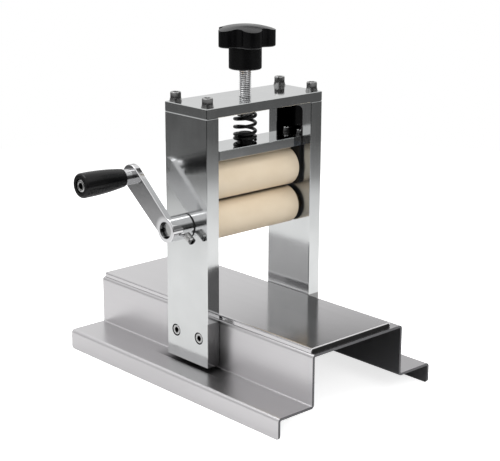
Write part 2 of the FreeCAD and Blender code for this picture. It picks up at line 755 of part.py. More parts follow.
# ---- Write every piece ----
def main():
    os.makedirs("parts", exist_ok=True)
    spring_washer_seat = bridge_top + m5_washer_thickness
    bridge_head_seat = spring_washer_seat + m5_spring_washer_thickness
    washer_seat = inner_face - sheet - m5_washer_thickness

    save("base_channel", base_channel())
    save("feed_pad", feed_pad())
    save("feed_plate", feed_plate())
    save("crank_side_plate", crank_side_plate())
    save("far_side_plate", far_side_plate())
    save("top_bridge", top_bridge())
    save("crank_side_bush", mirror_x(flanged_bush(outer_face)))
    save("far_side_bush", flanged_bush(slot_floor))
    save("bridge_flat_washers", Part.makeCompound(at_bridge(flat_washer(), bridge_top)))
    save("bridge_spring_washers", Part.makeCompound(at_bridge(split_ring(), spring_washer_seat)))
    save("bridge_screws", Part.makeCompound(at_bridge(cap_screw(M5, bridge_screw_length), bridge_head_seat)))
    save("base_screws", Part.makeCompound(
        at_base(cap_screw(M5, base_screw_length), outer_face - counterbore_depth)))
    save("base_washers", Part.makeCompound(at_base(flat_washer(), washer_seat)))
    save("base_nuts", Part.makeCompound(at_base(m5_nut(), washer_seat - m5_nut_height)))

    save("lower_roll_shaft", stepped_shaft(lower_journal_diameter, -crank_face + shaft_recess,
                                           slot_floor - end_clearance, lower_roll_height))
    save("lower_roll_cover", roll_cover(lower_roll_height))
    save("crank_arm", crank_arm())
    save("crank_clamp_screw", crank_clamp_screw())
    save("crank_washer", crank_washer())
    save("grip_ferrule", grip_ferrule())
    save("grip_bolt", grip_bolt())
    save("crank_grip", crank_grip())

    save("upper_roll_shaft", stepped_shaft(upper_journal_diameter, -slide_end, slide_end, upper_roll_height))
    save("upper_roll_cover", roll_cover(upper_roll_height))
    save("pressure_bar", pressure_bar())
    save("crank_side_bearing_block", mirror_x(bearing_block()))
    save("far_side_bearing_block", bearing_block())
    save("bar_screws", Part.makeCompound(at_bar_ends(cap_screw(M4, bar_screw_length), bar_top)))
    save("spring_collar", spring_collar())
    save("pressure_spring", pressure_spring())
    save("pressure_spindle", pressure_spindle())
    save("swivel_foot", swivel_foot())
    save("knob_insert", knob_insert())
    save("star_knob", star_knob())


main()
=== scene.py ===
# %% [markdown]
# # Dressing a hand cranked two-roll press
# The press comes in as a fixed frame of plain solids, one for each real part, already in place in metres.
# This lesson gives every part its finish and builds the ones that need more shape than a plain solid has.
# Loading the frame first means that each new piece can take its place from the part it stands on.

# %% Load the fixed frame and read boxes off its parts
import json
import math

import bmesh
import bpy
from mathutils import Matrix, Vector


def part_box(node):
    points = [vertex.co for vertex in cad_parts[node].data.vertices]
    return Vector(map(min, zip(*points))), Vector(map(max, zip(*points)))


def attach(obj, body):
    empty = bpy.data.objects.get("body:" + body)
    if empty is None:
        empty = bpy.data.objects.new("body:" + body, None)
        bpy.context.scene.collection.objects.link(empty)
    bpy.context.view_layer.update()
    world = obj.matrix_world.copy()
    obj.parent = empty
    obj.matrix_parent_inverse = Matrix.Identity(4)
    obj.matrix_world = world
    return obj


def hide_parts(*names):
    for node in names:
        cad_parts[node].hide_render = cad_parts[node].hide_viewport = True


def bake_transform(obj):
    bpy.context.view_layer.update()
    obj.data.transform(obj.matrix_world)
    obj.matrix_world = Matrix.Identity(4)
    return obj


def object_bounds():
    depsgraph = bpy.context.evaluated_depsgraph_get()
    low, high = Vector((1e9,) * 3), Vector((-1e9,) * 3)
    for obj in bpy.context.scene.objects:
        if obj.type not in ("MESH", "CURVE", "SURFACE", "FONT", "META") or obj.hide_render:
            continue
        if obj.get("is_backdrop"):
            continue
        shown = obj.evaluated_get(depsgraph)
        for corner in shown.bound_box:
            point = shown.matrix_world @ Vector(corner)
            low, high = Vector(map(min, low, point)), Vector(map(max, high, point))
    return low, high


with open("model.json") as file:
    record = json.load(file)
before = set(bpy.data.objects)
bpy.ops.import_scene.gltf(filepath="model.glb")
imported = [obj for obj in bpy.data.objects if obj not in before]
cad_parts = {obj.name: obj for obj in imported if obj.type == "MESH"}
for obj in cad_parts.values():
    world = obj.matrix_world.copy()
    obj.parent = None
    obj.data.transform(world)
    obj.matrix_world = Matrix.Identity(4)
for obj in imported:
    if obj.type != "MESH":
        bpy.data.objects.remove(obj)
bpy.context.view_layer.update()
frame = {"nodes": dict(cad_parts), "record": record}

MM = 0.001
nodes = frame["nodes"]
print("parts in the frame:", len(nodes))

# %% [markdown]
# ## Objects and meshes
# A mesh, a lamp or a camera is only data until an object in the scene holds it. Shapes made point by point
# are put together as an edit mesh first and written to a mesh at the end, when their faces are complete.

# %% Two helpers for later cells


def in_scene(name, data):
    made = bpy.data.objects.new(name, data)
    bpy.context.scene.collection.objects.link(made)
    return made


def mesh_of(name, shape):
    mesh = bpy.data.meshes.new(name)
    shape.to_mesh(mesh)
    shape.free()
    return mesh


print("object helpers ready")

# %% [markdown]
# ## Camera
# The press is seen from in front, to the left and a little above, from about a metre away. A long lens
# keeps the uprights nearly parallel. A camera looks along its own -Z, so it is turned by two angles,
# round and up, and then rolled a hair about its own line of sight.

# %% Place the camera
SENSOR = 36.0
LENS = 96.72
CAMERA_PLACE = (-0.7178, -0.7850, 0.4173)
CAMERA_AZIMUTH, CAMERA_ELEVATION, CAMERA_ROLL = -42.669, 15.734, 0.198


def looking(azimuth, elevation, roll):
    a, e = math.radians(azimuth), math.radians(elevation)
    back = Vector((math.sin(a) * math.cos(e), -math.cos(a) * math.cos(e), math.sin(e)))
    return (-back).to_track_quat("-Z", "Y") @ Matrix.Rotation(math.radians(roll), 3, "Z").to_quaternion()


camera_data = bpy.data.cameras.new("press_camera")
camera_data.lens = LENS
camera_data.sensor_width = SENSOR
camera = in_scene("press_camera", camera_data)
camera.location = CAMERA_PLACE
camera.rotation_mode = "QUATERNION"
camera.rotation_quaternion = looking(CAMERA_AZIMUTH, CAMERA_ELEVATION, CAMERA_ROLL)
bpy.context.scene.camera = camera
print("camera distance in mm:", round(camera.location.length / MM))

# %% [markdown]
# ## Node helpers
# Finishes and Geometry Nodes trees are both graphs. A small bench class adds nodes, wires them and does
# sums, so that each graph below reads as a few lines of what it does instead of a page of sockets. It
# also gives the things that most finishes ask for: a point's place on its part, and the way its face
# looks.

# %% A bench for wiring node graphs


class Bench:
    def __init__(self, tree):
        self.tree = tree

    def node(self, kind, **settings):
        made = self.tree.nodes.new(kind)
        for name, value in settings.items():
            setattr(made, name, value)
        return made

    def feed(self, socket, value):
        if isinstance(value, bpy.types.NodeSocket):
            self.tree.links.new(value, socket)
        elif value is not None:
            socket.default_value = value

    def use(self, kind, inputs=None, output=0, **settings):
        made = self.node(kind, **settings)
        for name, value in (inputs or {}).items():
            self.feed(made.inputs[name], value)
        return made.outputs[output]

    def sum(self, operation, a, b=None, c=None):
        return self.use("ShaderNodeMath", {0: a, 1: b, 2: c}, operation=operation)

    def vector_sum(self, operation, a, b=None):
        return self.use("ShaderNodeVectorMath", {0: a, 1: b}, operation=operation)

    def length(self, vector):
        return self.use("ShaderNodeVectorMath", {0: vector}, output="Value", operation="LENGTH")

    def apart(self, vector):
        made = self.node("ShaderNodeSeparateXYZ")
        self.feed(made.inputs[0], vector)
        return made.outputs

    def spread(self, value, low, high, to_low=0.0, to_high=1.0):
        inputs = {"Value": value, "From Min": low, "From Max": high, "To Min": to_low, "To Max": to_high}
        return self.use("ShaderNodeMapRange", inputs)

    def greys(self, share, shades):
        ramp = self.node("ShaderNodeValToRGB")
        ramp.color_ramp.elements.remove(ramp.color_ramp.elements[1])
        ramp.color_ramp.elements[0].position = shades[0][0]
        ramp.color_ramp.elements[0].color = (*[shades[0][1]] * 3, 1)
        for place, level in shades[1:]:
            ramp.color_ramp.elements.new(place).color = (level, level, level, 1)
        self.feed(ramp.inputs[0], share)
        return ramp.outputs["Color"]

    def blended(self, share, first, second):
        mixed = self.node("ShaderNodeMix", data_type="RGBA")
        for socket, value in ((0, share), (6, first), (7, second)):
            self.feed(mixed.inputs[socket], value)
        return mixed.outputs[2]

    def place(self):
        return self.use("ShaderNodeTexCoord", output="Object")

    def facing(self):
        return self.apart(self.use("ShaderNodeTexCoord", output="Normal"))

    def seen_by_eye(self):
        path = self.node("ShaderNodeLightPath")
        return self.sum("MAXIMUM", path.outputs["Is Camera Ray"], path.outputs["Is Transmission Ray"])


print("bench ready")

# %% [markdown]
# ## Floor
# The press stands on a plain pale table. The floor is a disc that catches the shadow. It is pale round
# the press and falls off to a dark grey, which the polished steel shows as a soft gradient. For the eye
# it glows, more towards its edge, so that it runs into the white behind it.

# %% Lay the floor
FLOOR_RADIUS = 0.92
FLOOR_SINK = 0.2 * MM
FLOOR_SIDES = 96
PAPER_SHADES = (
    (0.00, 0.86),
    (0.42, 0.78),
    (0.54, 0.66),
    (0.62, 0.62),
    (0.67, 0.46),
    (0.73, 0.24),
    (0.85, 0.15),
)
GLOW_RANGE = (0.25, 0.60)
NEAR_GLOW, FAR_GLOW = 0.74, 0.95


def floor_finish():
    material = bpy.data.materials.new("pale_floor")
    material.use_nodes = True
    bench = Bench(material.node_tree)
    bench.tree.nodes.clear()
    distance = bench.length(bench.place())
    paper = bench.use("ShaderNodeBsdfDiffuse", {"Color": bench.greys(distance, PAPER_SHADES)})
    level = bench.spread(distance, *GLOW_RANGE, NEAR_GLOW, FAR_GLOW)
    glow = bench.use("ShaderNodeEmission", {"Strength": bench.sum("MULTIPLY", bench.seen_by_eye(), level)})
    both = bench.use("ShaderNodeAddShader", {0: paper, 1: glow})
    bench.feed(bench.node("ShaderNodeOutputMaterial").inputs["Surface"], both)
    return material


def disc(name, radius, height, sides):
    shape = bmesh.new()
    angles = [2 * math.pi * k / sides for k in range(sides)]
    shape.faces.new([shape.verts.new((radius * math.cos(a), radius * math.sin(a), height)) for a in angles])
    return in_scene(name, mesh_of(name, shape))


floor = disc("floor", FLOOR_RADIUS, -FLOOR_SINK, FLOOR_SIDES)
floor.data.materials.append(floor_finish())
floor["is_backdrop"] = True
print("floor radius in mm:", round(FLOOR_RADIUS / MM))

# %% [markdown]
# ## Studio
# Polished steel has almost no look of its own: it shows the room. The room here is a soft studio, white
# above and behind, with a darker band near the horizon, an unlit side towards the viewer and three dark
# panels. Two hang behind, with lower edges that show in the deck, and one stands in front on the right.
# The world paints it by direction for light and reflections, and stays plain white for the eye.

# %% Paint the studio round the press
HORIZON_SHADES = (
    (0.00, 0.62),
    (0.30, 0.50),
    (0.36, 0.30),
    (0.40, 0.13),
    (0.45, 0.12),
    (0.50, 0.34),
    (0.56, 0.80),
    (0.70, 0.95),
    (1.00, 1.00),
)
DARK_SIDE = {"side": (-0.50, -0.866, 0.0), "spread": (0.80, 0.95), "foot": (0.55, 0.35), "level": 0.12}
PANELS = (
    {"side": (0.82, 0.57, 0.0), "spread": (0.94, 0.982), "foot": (0.325, 0.356), "top": (0.50, 0.44),
     "level": 0.08},
    {"side": (-0.68, 0.73, 0.0), "spread": (0.80, 0.92), "foot": (0.28, 0.35), "top": (0.39, 0.365),
     "level": 0.25},
    {"side": (0.65, -0.76, 0.0), "spread": (0.75, 0.90), "foot": (0.02, 0.10), "top": (0.55, 0.45),
     "level": 0.20},
)

world = bpy.data.worlds.new("studio")
bpy.context.scene.world = world
world.use_nodes = True
room = Bench(world.node_tree)
room.tree.nodes.clear()
heading = room.use("ShaderNodeTexCoord", output="Generated")
height = room.apart(heading)["Z"]
shade = room.greys(room.spread(height, -1.0, 1.0), HORIZON_SHADES)
compass = room.vector_sum("NORMALIZE", room.vector_sum("MULTIPLY", heading, (1.0, 1.0, 0.0)))


def covered_share(panel):
    turned = room.use("ShaderNodeVectorMath", {0: compass, 1: panel["side"]}, output="Value",
                      operation="DOT_PRODUCT")
    share = room.sum("MULTIPLY", room.spread(turned, *panel["spread"]), room.spread(height, *panel["foot"]))
    if "top" in panel:
        share = room.sum("MULTIPLY", share, room.spread(height, *panel["top"]))
    return share


level = 1.0
for panel in (DARK_SIDE, *PANELS):
    level = room.sum("MULTIPLY", level, room.spread(covered_share(panel), 0.0, 1.0, 1.0, panel["level"]))
lit = room.use("ShaderNodeVectorMath", {0: shade, "Scale": level}, operation="SCALE")
studio = room.use("ShaderNodeBackground", {"Color": lit, "Strength": 1.0})
plain = room.use("ShaderNodeBackground", {"Color": (1, 1, 1, 1), "Strength": 1.0})
mixed = room.use("ShaderNodeMixShader", {0: room.seen_by_eye(), 1: studio, 2: plain})
room.feed(room.node("ShaderNodeOutputWorld").inputs["Surface"], mixed)
bpy.context.scene.view_settings.view_transform = "Standard"
print("studio shades:", len(HORIZON_SHADES))

# %% [markdown]
# ## Lamps
# Two broad soft lamps model the round parts: one above and behind to the left, one to the right. A third
# in front only lifts the matt parts. The last two stay out of the mirrors. All are large, so their
# shadows are soft, and weak, so that no pale surface burns out.

# %% Hang the lamps
AT_UPRIGHTS, AT_ROLLS = (0.0, 0.0, 0.12), (0.0, 0.0, 0.15)


def softbox(name, place, aim, width, watts):
    data = bpy.data.lights.new(name, "AREA")
    data.shape = "SQUARE"
    data.size = width
    data.energy = watts
    lamp = in_scene(name, data)
    lamp.location = place
    lamp.rotation_mode = "QUATERNION"
    lamp.rotation_quaternion = (Vector(aim) - Vector(place)).to_track_quat("-Z", "Y")
    return lamp


softbox("top_lamp", (-0.35, 0.25, 1.10), aim=AT_UPRIGHTS, width=0.7, watts=5.0)
side = softbox("right_lamp", (0.80, -0.42, 1.05), aim=AT_UPRIGHTS, width=0.6, watts=5.0)
fill = softbox("front_fill", (-0.25, -1.10, 0.55), aim=AT_ROLLS, width=0.8, watts=4.5)
side.visible_glossy = fill.visible_glossy = False

# %% [markdown]
# ## Finishes: what they share
# Each finish is a node graph on the part's own object coordinates, in metres, so a grain of half a
# millimetre is half a millimetre everywhere. Noise stretched along one axis is brushing; the same noise
# left round is casting skin or moulded texture. Roughness and bump come from it, so the gloss breaks up as
# on the real part. Painted shade, painted light and a few real marks are later coats over the first colour.
# Each has its own mask: a box, a distance from an axis or the way a face looks.

# %% Finish helpers


def finish(name, colour, metallic, roughness):
    material = bpy.data.materials.new(name)
    material.use_nodes = True
    bench = Bench(material.node_tree)
    shader = bench.tree.nodes["Principled BSDF"]
    shader.inputs["Base Color"].default_value = (*colour, 1)
    shader.inputs["Metallic"].default_value = metallic
    shader.inputs["Roughness"].default_value = roughness
    return material, bench, shader


def grain(bench, scale, detail):
    sized = bench.vector_sum("MULTIPLY", bench.place(), scale)
    inputs = {"Vector": sized, "Scale": 1.0, "Detail": detail, "Roughness": 0.5}
    return bench.use("ShaderNodeTexNoise", inputs)


def raise_grain(bench, shader, height, depth):
    dent = bench.use("ShaderNodeBump", {"Height": height, "Distance": depth, "Strength": 1.0})
    bench.feed(shader.inputs["Normal"], dent)


def vary_colour(bench, shader, share, dark, light):
    bench.feed(shader.inputs["Base Color"], bench.blended(share, (*dark, 1), (*light, 1)))


def off_axis(bench, place, centre, across=(0.0, 1.0, 1.0)):
    return bench.length(bench.vector_sum("MULTIPLY", bench.vector_sum("SUBTRACT", place, centre), across))


def shade_colour(bench, shader, share, shaded):
    lit = shader.inputs["Base Color"].links[0].from_socket
    bench.feed(shader.inputs["Base Color"], bench.blended(share, lit, (*shaded, 1)))


def box_mask(bench, box):
    mask = 1.0
    for value, low, high in zip(bench.apart(bench.vector_sum("ABSOLUTE", bench.place())), *box):
        mask = bench.sum("MULTIPLY", mask, bench.sum("COMPARE", value, (low + high) / 2, (high - low) / 2))
    return mask


print("finish helpers ready")

# %% [markdown]
# ## Where painted shade sits
# Painted shade and the tint over the mirrored rolls sit where the real parts meet, so most of their places
# are worked out from those parts. Both sides of the press are alike, so a box is given for the far side
# only, by its low and its high corner. A soft edge is a pair: where a mark begins, and where it has its
# full strength. The tint painted where the rolls are mirrored in the uprights begins at the underside of
# the lower roll, and its lower edge slopes up towards front and back.

# %% Work out the places of painted shade
base_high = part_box("base_channel")[1]
plate_low, plate_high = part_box("far_side_plate")
block_low, block_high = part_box("far_side_bearing_block")
bar_low, bar_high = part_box("pressure_bar")
shaft_low, shaft_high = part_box("lower_roll_shaft")
spindle_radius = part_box("pressure_spindle")[1].x
arm_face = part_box("crank_arm")[0].x

SHEET_END = base_high.y - 0.2 * MM
DECK_EDGE = (base_high.z - 0.5 * MM, base_high.z + 1.0 * MM)
# Painted shade on the base beside the uprights' feet.
WEB_FOOT_SHADE_BOX = (
    (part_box("feed_plate")[1].x, 0.0, plate_low.z - 3.5 * MM),
    (plate_high.x + 1.5 * MM, 60.0 * MM, base_high.z - 1.0 * MM),
)
WEB_FOOT_SHADE_EDGE = (plate_high.y + 19.0 * MM, plate_high.y - 1.0 * MM)
# Where a bluish-grey tint is painted over the rolls' mirrored image in the uprights.
ROLL_REFLECTION_BOX = (
    (plate_low.x - 0.5 * MM, 0.0, 110.0 * MM),
    (plate_low.x + 0.2 * MM, plate_high.y + 1.0 * MM, bar_low.z + 2.6 * MM),
)
ROLL_REFLECTION_SLOPE, ROLL_REFLECTION_EDGE = 0.415, (116.5 * MM, 118.5 * MM)
# Painted shade on the bar's ends and the uprights' feet.
BAR_END_BOX = (
    (plate_low.x - 9.5 * MM, bar_high.y - 0.5 * MM, bar_low.z - 19.4 * MM),
    (plate_low.x + 2.0 * MM, bar_high.y + 1.0 * MM, bar_high.z + 7.6 * MM),
)
UPRIGHT_FOOT_BOX = (
    (plate_low.x - 0.2 * MM, plate_high.y - 0.3 * MM, plate_low.z - 0.5 * MM),
    (plate_high.x + 0.2 * MM, plate_high.y + 0.2 * MM, base_high.z - 1.0 * MM),
)
# Slot walls and counterbore walls are painted black as shade.
SLOT_BOX = (
    (plate_low.x + 0.3 * MM, 0.0, block_low.z - 0.5 * MM),
    (plate_high.x - 0.3 * MM, block_high.y + 0.3 * MM, plate_high.z - 4.0 * MM),
)
COUNTERBORE_WALL = (5.1 * MM, 4.9 * MM)
# The thread gets a painted sheen and its floor painted shade.
THREAD_ZONE = (spindle_radius + 0.6 * MM, spindle_radius + 0.2 * MM)
THREAD_FLOOR = (spindle_radius - 0.6 * MM, spindle_radius - 0.8 * MM)
CRANK_AXIS = (0.0, 0.0, (shaft_low.z + shaft_high.z) / 2)
# The hub's mouth gets painted shade.
HUB_BORE, HUB_EDGE = (7.0 * MM, 6.6 * MM), (9.0 * MM, 12.0 * MM)
HUB_MOUTH = (arm_face + 5.0 * MM, arm_face + 4.0 * MM)
print("crank axis height in mm:", round(CRANK_AXIS[2] / MM, 2))

# %% [markdown]
# ## Brushed stainless
# The base and the feed plate are folded from sheet with a fine ground grain that runs the long way. On the
# deck it is polished almost to a mirror. The sides of the base keep more of it. Their cut ends, which
# nobody polishes, are dull and dark, and their backs, inside the channel and underneath, are dull with
# shade painted dark on them. A face's place and the way it looks say which of these it is. Faces that look
# up are painted a little brighter, as painted light. Painted shade lies beside the feet of the uprights and
# fades with the distance from them.

# %% Brushed stainless
# Painted light on faces that look up, painted shade on the backs and beside the uprights' feet.
PAINTED_TOP_LIGHT, BACK_SHADE_AND_CUT_END, WEB_FOOT_SHADE = (0.65, 0.64, 0.65), (0.13, 0.13, 0.135), (0.17, 0.165, 0.17)


def brushed_stainless():
    material, bench, shader = finish("brushed_stainless", (0.56, 0.55, 0.56), 1.0, 0.3)
    fine = grain(bench, (800.0, 4.0, 800.0), 2.0)
    broad = grain(bench, (240.0, 5.0, 240.0), 1.0)
    both = bench.sum("ADD", bench.sum("MULTIPLY", fine, 0.75), bench.sum("MULTIPLY", broad, 0.25))
    where, facing = bench.apart(bench.place()), bench.facing()
    sideways = bench.sum("ABSOLUTE", where["Y"])
    inward = bench.spread(bench.sum("MULTIPLY", where["X"], facing["X"]), -0.02, -0.04)
    under = bench.spread(facing["Z"], -0.4, -0.6)
    back = bench.sum("MAXIMUM", inward, under)
    back = bench.sum("MAXIMUM", back, bench.sum("GREATER_THAN", sideways, SHEET_END))
    deck = bench.spread(where["Z"], *DECK_EDGE)
    gloss = bench.spread(broad, 0.2, 0.8, 0.285, 0.315)
    gloss = bench.sum("SUBTRACT", gloss, bench.sum("MULTIPLY", deck, 0.17))
    gloss = bench.sum("ADD", gloss, bench.sum("MULTIPLY", back, 0.15))
    bench.feed(shader.inputs["Roughness"], gloss)
    vary_colour(bench, shader, bench.spread(broad, 0.2, 0.8), (0.563, 0.553, 0.563), (0.577, 0.567, 0.577))
    # Painted light: faces that look up are painted brighter.
    shade_colour(bench, shader, bench.spread(facing["Z"], 0.90, 0.95), PAINTED_TOP_LIGHT)
    # Painted shade on the backs inside the channel and underneath; the sheet's cut ends are dull and dark.
    shade_colour(bench, shader, back, BACK_SHADE_AND_CUT_END)
    # Painted shade beside the uprights' feet, fading with the distance from them.
    near = bench.sum("POWER", bench.spread(sideways, *WEB_FOOT_SHADE_EDGE), 1.5)
    shade_colour(bench, shader, bench.sum("MULTIPLY", box_mask(bench, WEB_FOOT_SHADE_BOX), near), WEB_FOOT_SHADE)
    raise_grain(bench, shader, both, 0.001 * MM)
    return material


print("brushed stainless: grain along y")

# %% [markdown]
# ## Polished stainless
# The uprights, the bridge and the bar are flat bar with a mirror polish. A polished face is never quite
# even: it has a faint lengthwise draw and soft smears, which show as slow changes of gloss. The walls of
# the two slots, where the bearing blocks slide, and the counterbores of the base screws are painted black
# as shade. Beside the rolls the uprights are a little duller, and a bluish-grey tint is painted over the
# rolls' mirrored image, a painted reflection. The bar's ends and the uprights' feet are painted darker as
# shade.

# %% Polished stainless
# A painted reflection tint over the mirrored rolls, and painted shades.
ROLL_REFLECTION_TINT, END_AND_FOOT_SHADE, SHADE_BLACK = (0.41, 0.45, 0.50), (0.24, 0.24, 0.24), (0.03, 0.03, 0.03)


def polished_stainless():
    material, bench, shader = finish("polished_stainless", (0.60, 0.61, 0.61), 1.0, 0.1)
    smear = grain(bench, (45.0, 45.0, 45.0), 3.0)
    draw = grain(bench, (900.0, 900.0, 20.0), 2.0)
    both = bench.sum("MULTIPLY", smear, draw)
    gloss = bench.spread(both, 0.15, 0.4, 0.07, 0.12)
    wide = bench.sum("ABSOLUTE", bench.apart(bench.use("ShaderNodeNewGeometry", output="Normal"))["X"])
    gloss = bench.sum("ADD", gloss, bench.spread(wide, 0.7, 0.95, 0.0, 0.03))
    where = bench.apart(bench.place())
    # A bluish-grey tint, a painted reflection, over the rolls' mirrored image; the gloss is dulled there
    # too.
    slope = bench.sum("MULTIPLY", bench.sum("ABSOLUTE", where["Y"]), ROLL_REFLECTION_SLOPE)
    above = bench.spread(bench.sum("SUBTRACT", where["Z"], slope), *ROLL_REFLECTION_EDGE)
    roll_reflection = bench.sum("MULTIPLY", box_mask(bench, ROLL_REFLECTION_BOX), above)
    gloss = bench.sum("ADD", gloss, bench.sum("MULTIPLY", roll_reflection, 0.10))
    bench.feed(shader.inputs["Roughness"], gloss)
    vary_colour(bench, shader, bench.spread(smear, 0.3, 0.7), (0.58, 0.59, 0.59), (0.63, 0.64, 0.64))
    shade_colour(bench, shader, roll_reflection, ROLL_REFLECTION_TINT)
    # Painted shade on the bar's ends and the uprights' feet.
    end_and_foot_shade = bench.sum("MAXIMUM", box_mask(bench, BAR_END_BOX), box_mask(bench, UPRIGHT_FOOT_BOX))
    shade_colour(bench, shader, end_and_foot_shade, END_AND_FOOT_SHADE)
    # Painted shade, near black, on the slot walls and the counterbore walls.
    low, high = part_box("base_screws")
    screw_axis = (0.0, high.y - (high.z - low.z) / 2, (low.z + high.z) / 2)
    bore = off_axis(bench, bench.vector_sum("ABSOLUTE", bench.place()), screw_axis)
    recess_shade = bench.sum("MAXIMUM", box_mask(bench, SLOT_BOX), bench.spread(bore, *COUNTERBORE_WALL))
    shade_colour(bench, shader, recess_shade, SHADE_BLACK)
    raise_grain(bench, shader, draw, 0.004 * MM)
    return material


print("polished stainless: a slow smear over a mirror")

# %% [markdown]
# ## Chrome and screw steel
# The crank and the spindle are plated, so they mirror the room with only a slight ripple of the casting
# below the plate. The outer side of the crank's arm is only ground, so it is duller. The thread is painted
# brighter, a painted sheen. Painted shade darkens the bottom of the thread and the mouth of the crank's
# hub. The screws and washers are plain bright steel, a little rougher, and an attribute on their rings says
# how much darker they are painted: painted shade in the sockets, and darker ribbed heads and a darker plain
# end on the clamp screw.

# %% Chrome and screw steel
# A painted sheen on the thread, the ground arm's own colour, and painted shade.
PAINTED_THREAD_SHEEN, GROUND_ARM, HUB_AND_THREAD_SHADE = (0.92, 0.92, 0.93), (0.36, 0.36, 0.365), (0.06, 0.06, 0.06)


def chrome():
    material, bench, shader = finish("chrome", (0.68, 0.68, 0.69), 1.0, 0.06)
    ripple = grain(bench, (160.0, 160.0, 160.0), 2.0)
    vary_colour(bench, shader, ripple, (0.65, 0.65, 0.66), (0.71, 0.71, 0.72))
    place = bench.place()
    depth = off_axis(bench, place, (0.0, 0.0, 0.0), across=(1.0, 1.0, 0.0))
    bore = off_axis(bench, place, CRANK_AXIS)
    outside, outwards = bench.apart(place)["X"], bench.facing()["X"]
    mouth = bench.sum("MULTIPLY", bench.spread(bore, *HUB_BORE), bench.spread(outside, *HUB_MOUTH))
    ground = bench.sum("MULTIPLY", bench.spread(outwards, -0.97, -0.99), bench.spread(bore, *HUB_EDGE))
    gloss = bench.spread(ripple, 0.3, 0.7, 0.04, 0.09)
    bench.feed(shader.inputs["Roughness"], bench.sum("ADD", gloss, bench.sum("MULTIPLY", ground, 0.12)))
    # Painted sheen on the thread.
    shade_colour(bench, shader, bench.spread(depth, *THREAD_ZONE), PAINTED_THREAD_SHEEN)
    shade_colour(bench, shader, ground, GROUND_ARM)
    # Painted shade at the bottom of the thread and in the hub's mouth.
    shade_colour(bench, shader, bench.sum("MAXIMUM", bench.spread(depth, *THREAD_FLOOR), mouth), HUB_AND_THREAD_SHADE)
    raise_grain(bench, shader, ripple, 0.03 * MM)
    return material


def screw_steel():
    material, bench, shader = finish("screw_steel", (0.44, 0.44, 0.44), 1.0, 0.2)
    speck = grain(bench, (1500.0, 1500.0, 1500.0), 4.0)
    bench.feed(shader.inputs["Roughness"], bench.spread(speck, 0.3, 0.7, 0.16, 0.24))
    vary_colour(bench, shader, bench.spread(speck, 0.35, 0.65), (0.41, 0.41, 0.405), (0.47, 0.47, 0.47))
    # How much darker each ring is painted: painted shade in the sockets, darker heads and clamp screw end.
    dark_share = bench.use("ShaderNodeAttribute", output="Fac", attribute_name="dark_share")
    shade_colour(bench, shader, dark_share, SHADE_BLACK)
    raise_grain(bench, shader, speck, 0.002 * MM)
    return material


print("chrome and screw steel ready")

# %% [markdown]
# ## Black parts
# The knob and the grip are glossy moulded plastic, the spring and its collar are blackened steel with an
# oiled look, the pad and the thin washer are rubber, and the blocks in the slots are a duller plastic.
# All four are nearly black, and only their gloss and skin tell them apart.

# %% Black plastic, blackened steel and rubber


def black_knob_plastic():
    material, bench, shader = finish("black_knob_plastic", (0.0025, 0.0025, 0.0028), 0.0, 0.22)
    skin = grain(bench, (700.0, 700.0, 700.0), 3.0)
    cloud = grain(bench, (60.0, 60.0, 60.0), 2.0)
    shader.inputs["Specular IOR Level"].default_value = 0.26
    bench.feed(shader.inputs["Roughness"], bench.spread(cloud, 0.3, 0.7, 0.17, 0.25))
    vary_colour(bench, shader, cloud, (0.0018, 0.0018, 0.002), (0.0035, 0.0035, 0.0038))
    raise_grain(bench, shader, skin, 0.02 * MM)
    return material


def black_spring_steel():
    material, bench, shader = finish("black_spring_steel", (0.003, 0.003, 0.003), 0.0, 0.3)
    skin = grain(bench, (900.0, 900.0, 900.0), 3.0)
    shader.inputs["Specular IOR Level"].default_value = 0.25
    bench.feed(shader.inputs["Roughness"], bench.spread(skin, 0.3, 0.7, 0.22, 0.4))
    vary_colour(bench, shader, skin, (0.002, 0.002, 0.002), (0.0045, 0.0042, 0.004))
    raise_grain(bench, shader, skin, 0.03 * MM)
    return material


def black_pad_rubber():
    material, bench, shader = finish("black_pad_rubber", (0.006, 0.006, 0.006), 0.0, 0.6)
    skin = grain(bench, (1800.0, 1800.0, 1800.0), 4.0)
    shader.inputs["Specular IOR Level"].default_value = 0.3
    vary_colour(bench, shader, skin, (0.004, 0.004, 0.004), (0.009, 0.009, 0.0085))
    raise_grain(bench, shader, skin, 0.05 * MM)
    return material


def black_bearing_plastic():
    material, bench, shader = finish("black_bearing_plastic", (0.004, 0.004, 0.004), 0.0, 0.45)
    milling = grain(bench, (60.0, 2200.0, 60.0), 2.0)
    bench.feed(shader.inputs["Roughness"], bench.spread(milling, 0.3, 0.7, 0.4, 0.55))
    shader.inputs["Specular IOR Level"].default_value = 0.25
    vary_colour(bench, shader, milling, (0.003, 0.003, 0.003), (0.006, 0.006, 0.006))
    raise_grain(bench, shader, milling, 0.03 * MM)
    return material


print("four blacks ready")

# %% [markdown]
# ## Cream rolls and bronze
# The rolls wear a cream cover with a soft matt skin, faintly clouded and a little darker where hands and
# work have touched it. Its cut ends, which face the uprights across a narrow gap, are painted dark grey as
# shade, and painted shade darkens the crevices, most where the two rolls almost touch. The bushes and the
# nut in the knob are cast bronze, turned bright.

# %% Cream roll cover and bronze
# Painted shade on the cover's ends and in its crevices.
ROLL_END_SHADE, NIP_SHADE = (0.13, 0.12, 0.12), (0.10, 0.075, 0.05)
NIP_SHADE_REACH = 5.0 * MM


